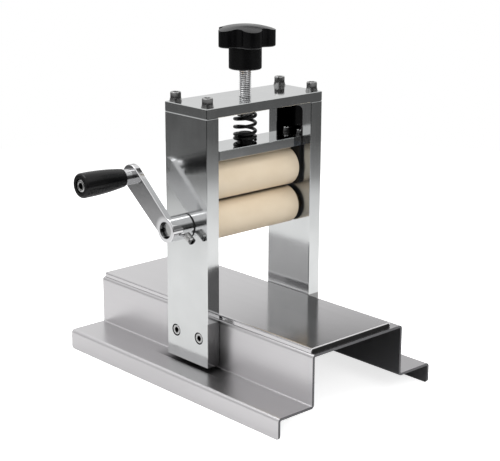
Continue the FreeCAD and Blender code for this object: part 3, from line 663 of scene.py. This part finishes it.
def cream_roll_rubber():
    material, bench, shader = finish("cream_roll_rubber", (0.77, 0.655, 0.485), 0.0, 0.55)
    cloud = grain(bench, (38.0, 60.0, 60.0), 4.0)
    skin = grain(bench, (1400.0, 1400.0, 1400.0), 4.0)
    turning = grain(bench, (2600.0, 60.0, 60.0), 2.0)
    shader.inputs["Specular IOR Level"].default_value = 0.3
    bench.feed(shader.inputs["Roughness"], bench.spread(cloud, 0.3, 0.7, 0.5, 0.62))
    vary_colour(bench, shader, bench.spread(cloud, 0.25, 0.75), (0.70, 0.58, 0.425), (0.765, 0.655, 0.50))
    # Painted shade on the cover's end faces, which face the uprights across a narrow gap.
    end = bench.spread(bench.sum("ABSOLUTE", bench.facing()["X"]), 0.9, 0.98)
    shade_colour(bench, shader, end, ROLL_END_SHADE)
    # Painted shade in crevices, from ambient occlusion, most where the rolls almost touch.
    open_sky = bench.use("ShaderNodeAmbientOcclusion", {"Distance": NIP_SHADE_REACH}, output="AO", samples=12)
    shade_colour(bench, shader, bench.spread(open_sky, 0.42, 0.16), NIP_SHADE)
    both = bench.sum("ADD", bench.sum("MULTIPLY", skin, 0.5), bench.sum("MULTIPLY", turning, 0.5))
    raise_grain(bench, shader, both, 0.04 * MM)
    return material


def bearing_bronze():
    material, bench, shader = finish("bearing_bronze", (0.50, 0.30, 0.13), 1.0, 0.3)
    cast = grain(bench, (700.0, 700.0, 700.0), 4.0)
    bench.feed(shader.inputs["Roughness"], bench.spread(cast, 0.3, 0.7, 0.24, 0.4))
    vary_colour(bench, shader, cast, (0.42, 0.24, 0.10), (0.58, 0.37, 0.17))
    raise_grain(bench, shader, cast, 0.02 * MM)
    return material


FINISHES = {make.__name__: make() for make in (
    brushed_stainless, polished_stainless, chrome, screw_steel, black_knob_plastic, black_spring_steel,
    black_pad_rubber, black_bearing_plastic, cream_roll_rubber, bearing_bronze)}
print("finishes:", sorted(FINISHES))

# %% [markdown]
# ## Dress the plain solids
# The record says which finish each part has, so the solids that are already right only need that finish
# in their own material slots. Their shapes are left alone.

# %% Give every solid its finish
slot_of = {row["node"]: row["material_slot"] for row in frame["record"]["subparts"]}
for name, solid in nodes.items():
    for slot in solid.material_slots:
        slot.material = FINISHES[slot_of[name]]
print("dressed:", len(nodes))

# %% [markdown]
# ## Growing pieces from trees
# The thread, the spring and the rows of small screws repeat one shape along a rule, so a Geometry Nodes
# tree makes each of them. A tree has named inputs for its sizes. It is put on an empty holder, its inputs
# are set, the result is read once as a plain mesh, and holder and modifier go away again.

# %% Make a tree, set its inputs and take the mesh
INPUT_KINDS = {"Material": "Material", "Piece": "Object", "Rings": "Int", "Points": "Int", "Seed": "Int"}
CREASE = 35.0


def new_tree(name, *labels):
    tree = bpy.data.node_groups.new(name, "GeometryNodeTree")
    tree.interface.new_socket("Geometry", in_out="OUTPUT", socket_type="NodeSocketGeometry")
    for label in (*labels, "Material"):
        kind = "NodeSocket" + INPUT_KINDS.get(label, "Float")
        tree.interface.new_socket(label, in_out="INPUT", socket_type=kind)
    bench = Bench(tree)
    return bench, bench.node("NodeGroupInput").outputs


def end_tree(bench, shape, given):
    solid = bench.use("GeometryNodeRealizeInstances", {0: shape})
    dressed = bench.use("GeometryNodeSetMaterial", {"Geometry": solid, "Material": given["Material"]})
    bench.feed(bench.node("NodeGroupOutput").inputs[0], dressed)


def grown(name, tree, **values):
    holder = in_scene(name + "_holder", bpy.data.meshes.new(name + "_holder"))
    modifier = holder.modifiers.new("grow", "NODES")
    modifier.node_group = tree
    for socket in tree.interface.items_tree:
        if socket.in_out == "INPUT":
            modifier[socket.identifier] = values[socket.name.replace(" ", "_").lower()]
    ready = holder.evaluated_get(bpy.context.evaluated_depsgraph_get())
    mesh = bpy.data.meshes.new_from_object(ready)
    holder.modifiers.remove(modifier)
    bpy.data.objects.remove(holder)
    return placed(name, mesh)


def placed(name, mesh):
    mesh.name = name
    mesh.shade_smooth()
    mesh.set_sharp_from_angle(angle=math.radians(CREASE))
    return in_scene(name, mesh)


print("trees can be grown")

# %% [markdown]
# ## Turned shapes
# Screws, nuts, pins and washers are all turned or nearly so. A closed solid is built from rings, from the
# lower end up and over the top into the socket. Each ring has a radius and a height, and the radius may be
# a rule of the angle: six flats for a key, or fine ribs for a knurled head. A third number says how much
# darker the ring is painted, mostly as painted shade in a socket.

# %% Build a solid from rings
HEAD_RIB_DEPTH = 0.12 * MM


def round_ring(radius):
    return lambda turn, k: radius


def six_flats(flats, limit=math.inf):
    return lambda turn, k: min(flats / 2 / math.cos(math.radians(turn * 360 % 60 - 30)), limit)


def ribbed(radius):
    return lambda turn, k: radius - HEAD_RIB_DEPTH * (k % 2)


def turned_solid(name, rings, around=72, ring_shaped=False, finish_name=None):
    shape = bmesh.new()
    loops = []
    dark_share = []
    for rule, level, *darkness in rings:
        dark_share.extend(around * (darkness or [0.0]))
        rule = rule if callable(rule) else round_ring(rule)
        loop = []
        for k in range(around):
            angle = 2 * math.pi * k / around
            reach = rule(k / around, k)
            loop.append(shape.verts.new((reach * math.cos(angle), reach * math.sin(angle), level)))
        loops.append(loop)
    pairs = list(zip(loops, loops[1:]))
    if ring_shaped:
        pairs.append((loops[-1], loops[0]))
    else:
        shape.faces.new(list(reversed(loops[0])))
        shape.faces.new(loops[-1])
    for low, high in pairs:
        for k in range(around):
            after = (k + 1) % around
            shape.faces.new((low[k], low[after], high[after], high[k]))
    mesh = mesh_of(name, shape)
    # Per-point share of painted darkness, mostly painted shade in sockets.
    mesh.attributes.new("dark_share", "FLOAT", "POINT").data.foreach_set("value", dark_share)
    if finish_name:
        mesh.materials.append(FINISHES[finish_name])
    return placed(name, mesh)


print("rings ready")

# %% [markdown]
# ## Thread
# A screw thread is one groove wound round a rod. On a fine cylinder, the phase of the groove at a point
# is its height in pitches less its turn round the axis. A triangle wave of that phase, with its tip and
# root cut flat, says how far the point sinks in. At the top end the point sinks a little more, which
# chamfers the end as on a real screw.

# %% Grow a threaded rod
THREAD_PITCH = 1.5 * MM
THREAD_DEPTH = 0.85 * MM
THREAD_SIDES = 48
RINGS_PER_PITCH = 12
FLANK = (0.07, 0.43)


def thread_tree():
    bench, given = new_tree("thread", "Diameter", "Pitch", "Depth", "Length", "Middle", "Rings")
    radius = bench.sum("MULTIPLY", given["Diameter"], 0.5)
    rod = bench.use("GeometryNodeMeshCylinder", {
        "Vertices": THREAD_SIDES, "Side Segments": given["Rings"],
        "Radius": radius, "Depth": given["Length"]})
    point = bench.use("GeometryNodeInputPosition")
    x, y, z = bench.apart(point)
    turn = bench.sum("DIVIDE", bench.sum("ARCTAN2", y, x), 2 * math.pi)
    phase = bench.sum("FRACT", bench.sum("SUBTRACT", bench.sum("DIVIDE", z, given["Pitch"]), turn))
    wave = bench.sum("ABSOLUTE", bench.sum("SUBTRACT", phase, 0.5))
    sunk = bench.sum("MULTIPLY", bench.spread(wave, *FLANK), given["Depth"])
    half = bench.sum("MULTIPLY", given["Length"], 0.5)
    tip = bench.spread(z, bench.sum("SUBTRACT", half, given["Depth"]), half, 0.0, given["Depth"])
    sunk = bench.sum("MAXIMUM", sunk, tip)
    share = bench.sum("SUBTRACT", 1.0, bench.sum("DIVIDE", sunk, radius))
    flat = bench.use("ShaderNodeCombineXYZ", {"X": share, "Y": share, "Z": 1.0})
    moved = bench.vector_sum("MULTIPLY", point, flat)
    cut = bench.use("GeometryNodeSetPosition", {"Geometry": rod, "Position": moved})
    lift = bench.use("ShaderNodeCombineXYZ", {"Z": given["Middle"]})
    raised = bench.use("GeometryNodeTransform", {"Geometry": cut, "Translation": lift})
    end_tree(bench, raised, given)
    return bench.tree


THREAD = thread_tree()


def threaded_rod(name, diameter, low, high, finish_name, pitch=THREAD_PITCH, depth=THREAD_DEPTH):
    return grown(name, THREAD, diameter=diameter, pitch=pitch, depth=depth, length=high - low,
                 middle=(low + high) / 2, rings=round((high - low) / pitch * RINGS_PER_PITCH),
                 material=FINISHES[finish_name])


def joined(name, *parts):
    shape = bmesh.new()
    for part in parts:
        shape.from_mesh(part.data)
    mesh = mesh_of(name, shape)
    for material in parts[0].data.materials:
        mesh.materials.append(material)
    for part in parts:
        bpy.data.objects.remove(part)
    return in_scene(name, mesh)


print("thread tree inputs:", [i.name for i in THREAD.interface.items_tree if i.in_out == "INPUT"])

# %% [markdown]
# ## Spindle
# The spindle is a threaded rod that ends in a plain pin. The pin turns in the swivel foot under the
# bridge and is riveted over below it. Only the thread shows, but the pin is built too, because the foot
# hangs on it.

# %% Thread the spindle
spindle_low, spindle_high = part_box("pressure_spindle")
foot_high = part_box("swivel_foot")[1]
SPINDLE_DIAMETER = spindle_high.x - spindle_low.x
PIN_DIAMETER = 5.0 * MM
RIVET_DIAMETER = 6.4 * MM
RIVET_HEIGHT = 1.0 * MM
RIVET_EDGE = 0.25 * MM
FOOT_PLAY = 0.05 * MM
shoulder = foot_high.z + FOOT_PLAY
rod = threaded_rod("spindle_rod", SPINDLE_DIAMETER, shoulder, spindle_high.z, "chrome")
pin = turned_solid("spindle_pin", [
    (RIVET_DIAMETER / 2 - RIVET_EDGE, spindle_low.z),
    (RIVET_DIAMETER / 2, spindle_low.z + RIVET_EDGE),
    (RIVET_DIAMETER / 2, spindle_low.z + RIVET_HEIGHT),
    (PIN_DIAMETER / 2, spindle_low.z + RIVET_HEIGHT),
    (PIN_DIAMETER / 2, shoulder)], finish_name="chrome")
spindle = joined("threaded_spindle", rod, pin)
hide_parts("pressure_spindle")
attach(spindle, "spindle")
print("spindle faces:", len(spindle.data.polygons))

# %% [markdown]
# ## Spring
# A compression spring is a wire on a helix whose pitch changes: the first turn lies closed on the bar, the
# next opens, and the rest is even. The tree bends a straight line of many points onto that helix and sweeps
# a circle along it. The piece sits between two bodies, the bridge above and the bar below, and its mesh is
# baked in place.

# %% Wind the spring
bar_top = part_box("pressure_bar")[1].z
bridge_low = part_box("top_bridge")[0].z
WIRE = 2.7 * MM
SPRING_TURNS = 4.9
CLOSED_TURNS = 1.0
RAMP_TURNS = 1.0
START_ANGLE = -42.7
END_ROOM = 0.1 * MM
CLOSED_PITCH = WIRE + 0.05 * MM
COIL_OUTSIDE = 19.4 * MM
COIL_POINTS = 360
WIRE_SIDES = 20
coil_radius = (COIL_OUTSIDE - WIRE) / 2
rise = bridge_low - bar_top - WIRE - 2 * END_ROOM
even_turns = SPRING_TURNS - CLOSED_TURNS - RAMP_TURNS / 2
open_pitch = (rise - CLOSED_PITCH * (CLOSED_TURNS + RAMP_TURNS / 2)) / even_turns


def spring_tree():
    bench, given = new_tree("spring", "Wire", "Radius", "Turns", "Closed", "Ramp", "Closed Pitch",
                            "Open Pitch", "Start", "Foot", "Points")
    line = bench.use("GeometryNodeCurvePrimitiveLine")
    line = bench.use("GeometryNodeResampleCurve", {"Curve": line, "Count": given["Points"]})
    along = bench.use("GeometryNodeSplineParameter")
    turns = bench.sum("MULTIPLY", along, given["Turns"])
    past = bench.sum("MAXIMUM", bench.sum("SUBTRACT", turns, given["Closed"]), 0.0)
    ramp = bench.sum("MINIMUM", past, given["Ramp"])
    bend = bench.sum("DIVIDE", bench.sum("MULTIPLY", ramp, ramp), bench.sum("MULTIPLY", given["Ramp"], 2.0))
    opened = bench.sum("ADD", bend, bench.sum("SUBTRACT", past, ramp))
    extra = bench.sum("SUBTRACT", given["Open Pitch"], given["Closed Pitch"])
    level = bench.sum("MULTIPLY_ADD", turns, given["Closed Pitch"], bench.sum("MULTIPLY", opened, extra))
    angle = bench.sum("MULTIPLY_ADD", turns, 2 * math.pi, given["Start"])
    place = bench.use("ShaderNodeCombineXYZ", {
        "X": bench.sum("MULTIPLY", bench.sum("COSINE", angle), given["Radius"]),
        "Y": bench.sum("MULTIPLY", bench.sum("SINE", angle), given["Radius"]),
        "Z": bench.sum("ADD", level, given["Foot"])})
    helix = bench.use("GeometryNodeSetPosition", {"Geometry": line, "Position": place})
    section = bench.use("GeometryNodeCurvePrimitiveCircle", {
        "Resolution": WIRE_SIDES, "Radius": bench.sum("MULTIPLY", given["Wire"], 0.5)})
    wire = bench.use("GeometryNodeCurveToMesh", {
        "Curve": helix, "Profile Curve": section, "Fill Caps": True})
    end_tree(bench, wire, given)
    return bench.tree


spring = grown("coil_spring", spring_tree(), wire=WIRE, radius=coil_radius, turns=SPRING_TURNS,
               closed=CLOSED_TURNS, ramp=RAMP_TURNS, closed_pitch=CLOSED_PITCH, open_pitch=open_pitch,
               start=math.radians(START_ANGLE), foot=bar_top + END_ROOM + WIRE / 2, points=COIL_POINTS,
               material=FINISHES["black_spring_steel"])
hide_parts("pressure_spring")
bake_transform(spring)
spring_heights = [v.co.z / MM for v in spring.data.vertices]
print("spring from", round(min(spring_heights), 2), "to", round(max(spring_heights), 2), "mm")

# %% [markdown]
# ## Cap screws
# The twelve screws of the frame and the bar are socket cap screws: a ribbed head with a six-sided socket
# and a plain rounded rim. The socket is as deep as its mouth's radius, and its wall is painted dark as
# shade; the ribbed side of the head is painted darker too. One screw of each size is turned from rings,
# with its seat at the origin.

# %% Turn one cap screw of each size
SCREW_LENGTH = 16.0 * MM
SMALL_HEAD, SMALL_HEIGHT = 7.0 * MM, 4.0 * MM
LARGE_HEAD, LARGE_HEIGHT = 8.5 * MM, 5.0 * MM
SOCKET_SHARE = 0.62


def cap_screw(name, thread, head, height, key):
    edge = 0.45 * MM
    rim = 0.35 * MM
    socket = SOCKET_SHARE * key
    return turned_solid(name, [
        (thread / 2 - edge, -SCREW_LENGTH),
        (thread / 2, -SCREW_LENGTH + edge),
        (thread / 2, 0.0),
        (head / 2 - 0.2 * MM, 0.0),
        (head / 2, 0.2 * MM),
        (ribbed(head / 2), 0.25 * MM, 0.75),
        (ribbed(head / 2), height - 0.8 * MM, 0.75),
        (head / 2 - 0.03 * MM, height - 0.75 * MM),
        (head / 2 - 0.1 * MM, height - rim),
        (head / 2 - rim, height),
        (socket, height),
        (six_flats(key), height - 0.25 * MM, 1.0),
        (six_flats(key), height - socket, 1.0),
        (0.2 * MM, height - socket - 0.4 * MM, 1.0)], around=96, finish_name="screw_steel")


small_screw = cap_screw("small_screw", 4.0 * MM, SMALL_HEAD, SMALL_HEIGHT, 3.0 * MM)
large_screw = cap_screw("large_screw", 5.0 * MM, LARGE_HEAD, LARGE_HEIGHT, 4.0 * MM)
print("faces in one screw:", len(large_screw.data.polygons))

# %% [markdown]
# ## Clamp screw
# The crank is clamped on its shaft by a screw without a head. It is threaded up to a plain end with a
# socket for a key, and stands out of the hub at a slant; the socket is painted dark as shade and the plain
# end is painted darker too. It is turned upright first, then its points are tipped into place. The end is
# joined first, because the joined mesh takes its values of painted darkness from the first piece.

# %% Turn the clamp screw
CLAMP_DIP = math.radians(30.5)
low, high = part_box("crank_clamp_screw")
hub_axis = Vector(((low.x + high.x) / 2, 0.0, CRANK_AXIS[2]))
outwards = Vector((0.0, -math.cos(CLAMP_DIP), -math.sin(CLAMP_DIP)))
CLAMP_REACH = 18.0 * MM
CLAMP_KEY = 3.0 * MM
PLAIN_END = 2.5 * MM
CLAMP_DIAMETER = high.x - low.x
clamp_inner = min((v.co - hub_axis).dot(outwards) for v in nodes["crank_clamp_screw"].data.vertices)
clamp_thread = threaded_rod("clamp_thread", CLAMP_DIAMETER, clamp_inner, CLAMP_REACH - PLAIN_END,
                            "screw_steel", pitch=0.8 * MM, depth=0.4 * MM)
clamp_end = turned_solid("clamp_end", [
    (CLAMP_DIAMETER / 2 - 0.35 * MM, CLAMP_REACH - PLAIN_END - 0.1 * MM, 0.6),
    (CLAMP_DIAMETER / 2 - 0.05 * MM, CLAMP_REACH - PLAIN_END + 0.2 * MM, 0.6),
    (CLAMP_DIAMETER / 2 - 0.05 * MM, CLAMP_REACH - 0.5 * MM, 0.75),
    (CLAMP_DIAMETER / 2 - 0.5 * MM, CLAMP_REACH, 0.85),
    (1.9 * MM, CLAMP_REACH, 0.9),
    (six_flats(CLAMP_KEY), CLAMP_REACH - 0.2 * MM, 1.0),
    (six_flats(CLAMP_KEY), CLAMP_REACH - 2.0 * MM, 1.0),
    (0.2 * MM, CLAMP_REACH - 2.3 * MM, 1.0)], finish_name="screw_steel")
clamp_screw = joined("clamp_screw", clamp_end, clamp_thread)
tipped = Matrix.Translation(hub_axis) @ outwards.to_track_quat("Z", "X").to_matrix().to_4x4()
clamp_screw.data.transform(tipped)
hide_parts("crank_clamp_screw")
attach(clamp_screw, "drive")
print("clamp screw diameter in mm:", round(CLAMP_DIAMETER / MM, 2))

# %% [markdown]
# ## Grip bolt
# The grip turns on a shouldered bolt that is screwed into the crank. Its broad head sits in the end of the
# grip, where it shows as a bright ring round a socket painted dark as shade. It is turned upright too, then
# laid along the crank's axis.

# %% Turn the grip bolt
BOLT_THREAD, BOLT_SHANK, BOLT_HEAD, BOLT_KEY = 6.0 * MM, 8.0 * MM, 10.8 * MM, 5.0 * MM
BOLT_HEAD_HEIGHT, BOLT_SOCKET = 3.0 * MM, 2.0 * MM
low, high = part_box("grip_bolt")
shank_end = low.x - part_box("grip_ferrule")[0].x
grip_bolt = turned_solid("grip_end_bolt", [
    (BOLT_THREAD / 2 - 0.4 * MM, low.x - high.x),
    (BOLT_THREAD / 2, low.x - high.x + 0.4 * MM),
    (BOLT_THREAD / 2, shank_end),
    (BOLT_SHANK / 2, shank_end),
    (BOLT_SHANK / 2, -BOLT_HEAD_HEIGHT),
    (BOLT_HEAD / 2 - 0.2 * MM, -BOLT_HEAD_HEIGHT),
    (BOLT_HEAD / 2, -BOLT_HEAD_HEIGHT + 0.2 * MM),
    (BOLT_HEAD / 2, -0.8 * MM, 0.3),
    (BOLT_HEAD / 2 - 0.3 * MM, -0.35 * MM),
    (BOLT_HEAD / 2 - 1.0 * MM, -0.05 * MM),
    (SOCKET_SHARE * BOLT_KEY, 0.0),
    (six_flats(BOLT_KEY), -0.3 * MM, 0.9),
    (six_flats(BOLT_KEY), -BOLT_SOCKET, 1.0),
    (0.2 * MM, -BOLT_SOCKET - 0.3 * MM, 1.0)], finish_name="screw_steel")
head_centre = Vector((low.x, (low.y + high.y) / 2, (low.z + high.z) / 2))
laid = Matrix.Translation(head_centre) @ Vector((-1, 0, 0)).to_track_quat("Z", "Y").to_matrix().to_4x4()
grip_bolt.data.transform(laid)
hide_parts("grip_bolt")
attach(grip_bolt, "drive")
print("grip bolt length in mm:", round((high.x - low.x) / MM, 1))

# %% [markdown]
# ## Nuts
# The nuts behind the base screws are six-sided with both ends turned to a blunt cone, which takes a hair
# off the corners.

# %% Turn one nut
NUT_FLATS = 8.0 * MM
NUT_HEIGHT = 4.0 * MM
NUT_BORE = 5.0 * MM
CORNER_LEFT = 0.9964
nut_corner = CORNER_LEFT * NUT_FLATS / 2 / math.cos(math.radians(30))
large_nut = turned_solid("large_nut", [
    (NUT_BORE / 2, 0.3 * MM),
    (NUT_BORE / 2 + 0.35 * MM, 0.0),
    (nut_corner * 0.93, 0.0),
    (six_flats(NUT_FLATS, nut_corner), 0.55 * MM),
    (six_flats(NUT_FLATS), 0.9 * MM),
    (six_flats(NUT_FLATS), NUT_HEIGHT - 0.9 * MM),
    (six_flats(NUT_FLATS, nut_corner), NUT_HEIGHT - 0.55 * MM),
    (nut_corner * 0.93, NUT_HEIGHT),
    (NUT_BORE / 2 + 0.35 * MM, NUT_HEIGHT),
    (NUT_BORE / 2, NUT_HEIGHT - 0.3 * MM)], ring_shaped=True, finish_name="screw_steel")
print("faces in one nut:", len(large_nut.data.polygons))

# %% [markdown]
# ## Rows of four
# The cap screws and the nuts of the press come in fours, on the corners of a rectangle. One tree sets a
# piece on those corners. It can tip the copies outwards, for the screws in the base, and turns each by
# its own amount about its own axis from a fixed seed, as screws end up when they are tightened by hand.

# %% Set a piece on four corners
MOST_TWIST = 60.0


def set_of_four_tree():
    bench, given = new_tree("set_of_four", "Piece", "Spacing X", "Spacing Y", "Level", "Tip", "Twist",
                            "Seed")
    corners = bench.use("GeometryNodeMeshGrid", {
        "Size X": given["Spacing X"], "Size Y": given["Spacing Y"], "Vertices X": 2, "Vertices Y": 2})
    side = bench.sum("SIGN", bench.apart(bench.use("GeometryNodeInputPosition"))["X"])
    lean = bench.use("ShaderNodeCombineXYZ", {"Y": bench.sum("MULTIPLY", side, given["Tip"])})
    copy = bench.use("GeometryNodeObjectInfo", {"Object": given["Piece"]}, output="Geometry")
    copies = bench.use("GeometryNodeInstanceOnPoints", {
        "Points": corners, "Instance": copy, "Rotation": lean})
    random = bench.node("FunctionNodeRandomValue", data_type="FLOAT")
    for label, value in (("Min", 0.0), ("Max", given["Twist"]), ("Seed", given["Seed"])):
        socket = next(i for i in random.inputs if i.name == label and i.enabled)
        bench.feed(socket, value)
    amount = next(o for o in random.outputs if o.enabled)
    twist = bench.use("ShaderNodeCombineXYZ", {"Z": amount})
    twisted = bench.use("GeometryNodeRotateInstances", {
        "Instances": copies, "Rotation": twist, "Local Space": True})
    lift = bench.use("ShaderNodeCombineXYZ", {"Z": given["Level"]})
    raised = bench.use("GeometryNodeTransform", {"Geometry": twisted, "Translation": lift})
    end_tree(bench, raised, given)
    return bench.tree


SET_OF_FOUR = set_of_four_tree()


def four_of(name, piece, node, body, spacing_x, spacing_y, level, tip=0.0, seed=1):
    made = grown(name, SET_OF_FOUR, piece=piece, spacing_x=spacing_x, spacing_y=spacing_y, level=level,
                 tip=math.radians(tip), twist=math.radians(MOST_TWIST), seed=seed,
                 material=FINISHES["screw_steel"])
    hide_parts(node)
    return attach(made, body)


low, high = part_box("bridge_screws")
four_of("bridge_cap_screws", large_screw, "bridge_screws", "frame", 2 * high.x - LARGE_HEAD,
        2 * high.y - LARGE_HEAD, high.z - LARGE_HEIGHT, seed=3)
low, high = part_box("bar_screws")
four_of("bar_cap_screws", small_screw, "bar_screws", "carriage", 2 * high.x - SMALL_HEAD,
        2 * high.y - SMALL_HEAD, high.z - SMALL_HEIGHT, seed=5)
low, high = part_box("base_screws")
base_row = 2 * high.y - LARGE_HEAD
four_of("base_cap_screws", large_screw, "base_screws", "frame", 2 * high.x - 2 * LARGE_HEIGHT, base_row,
        (low.z + high.z) / 2, tip=90.0, seed=7)
low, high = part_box("base_nuts")
four_of("base_hex_nuts", large_nut, "base_nuts", "frame", 2 * high.x - 2 * NUT_HEIGHT, base_row,
        (low.z + high.z) / 2, tip=90.0, seed=9)
for source in (small_screw, large_screw, large_nut):
    bpy.data.objects.remove(source)

# %% [markdown]
# ## Hand in
# The last cell prints the box of the dressed press.

# %% Print the box of the dressed press
low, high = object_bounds()
print("visual box in mm:", [round(v / MM, 1) for v in (*low, *high)])
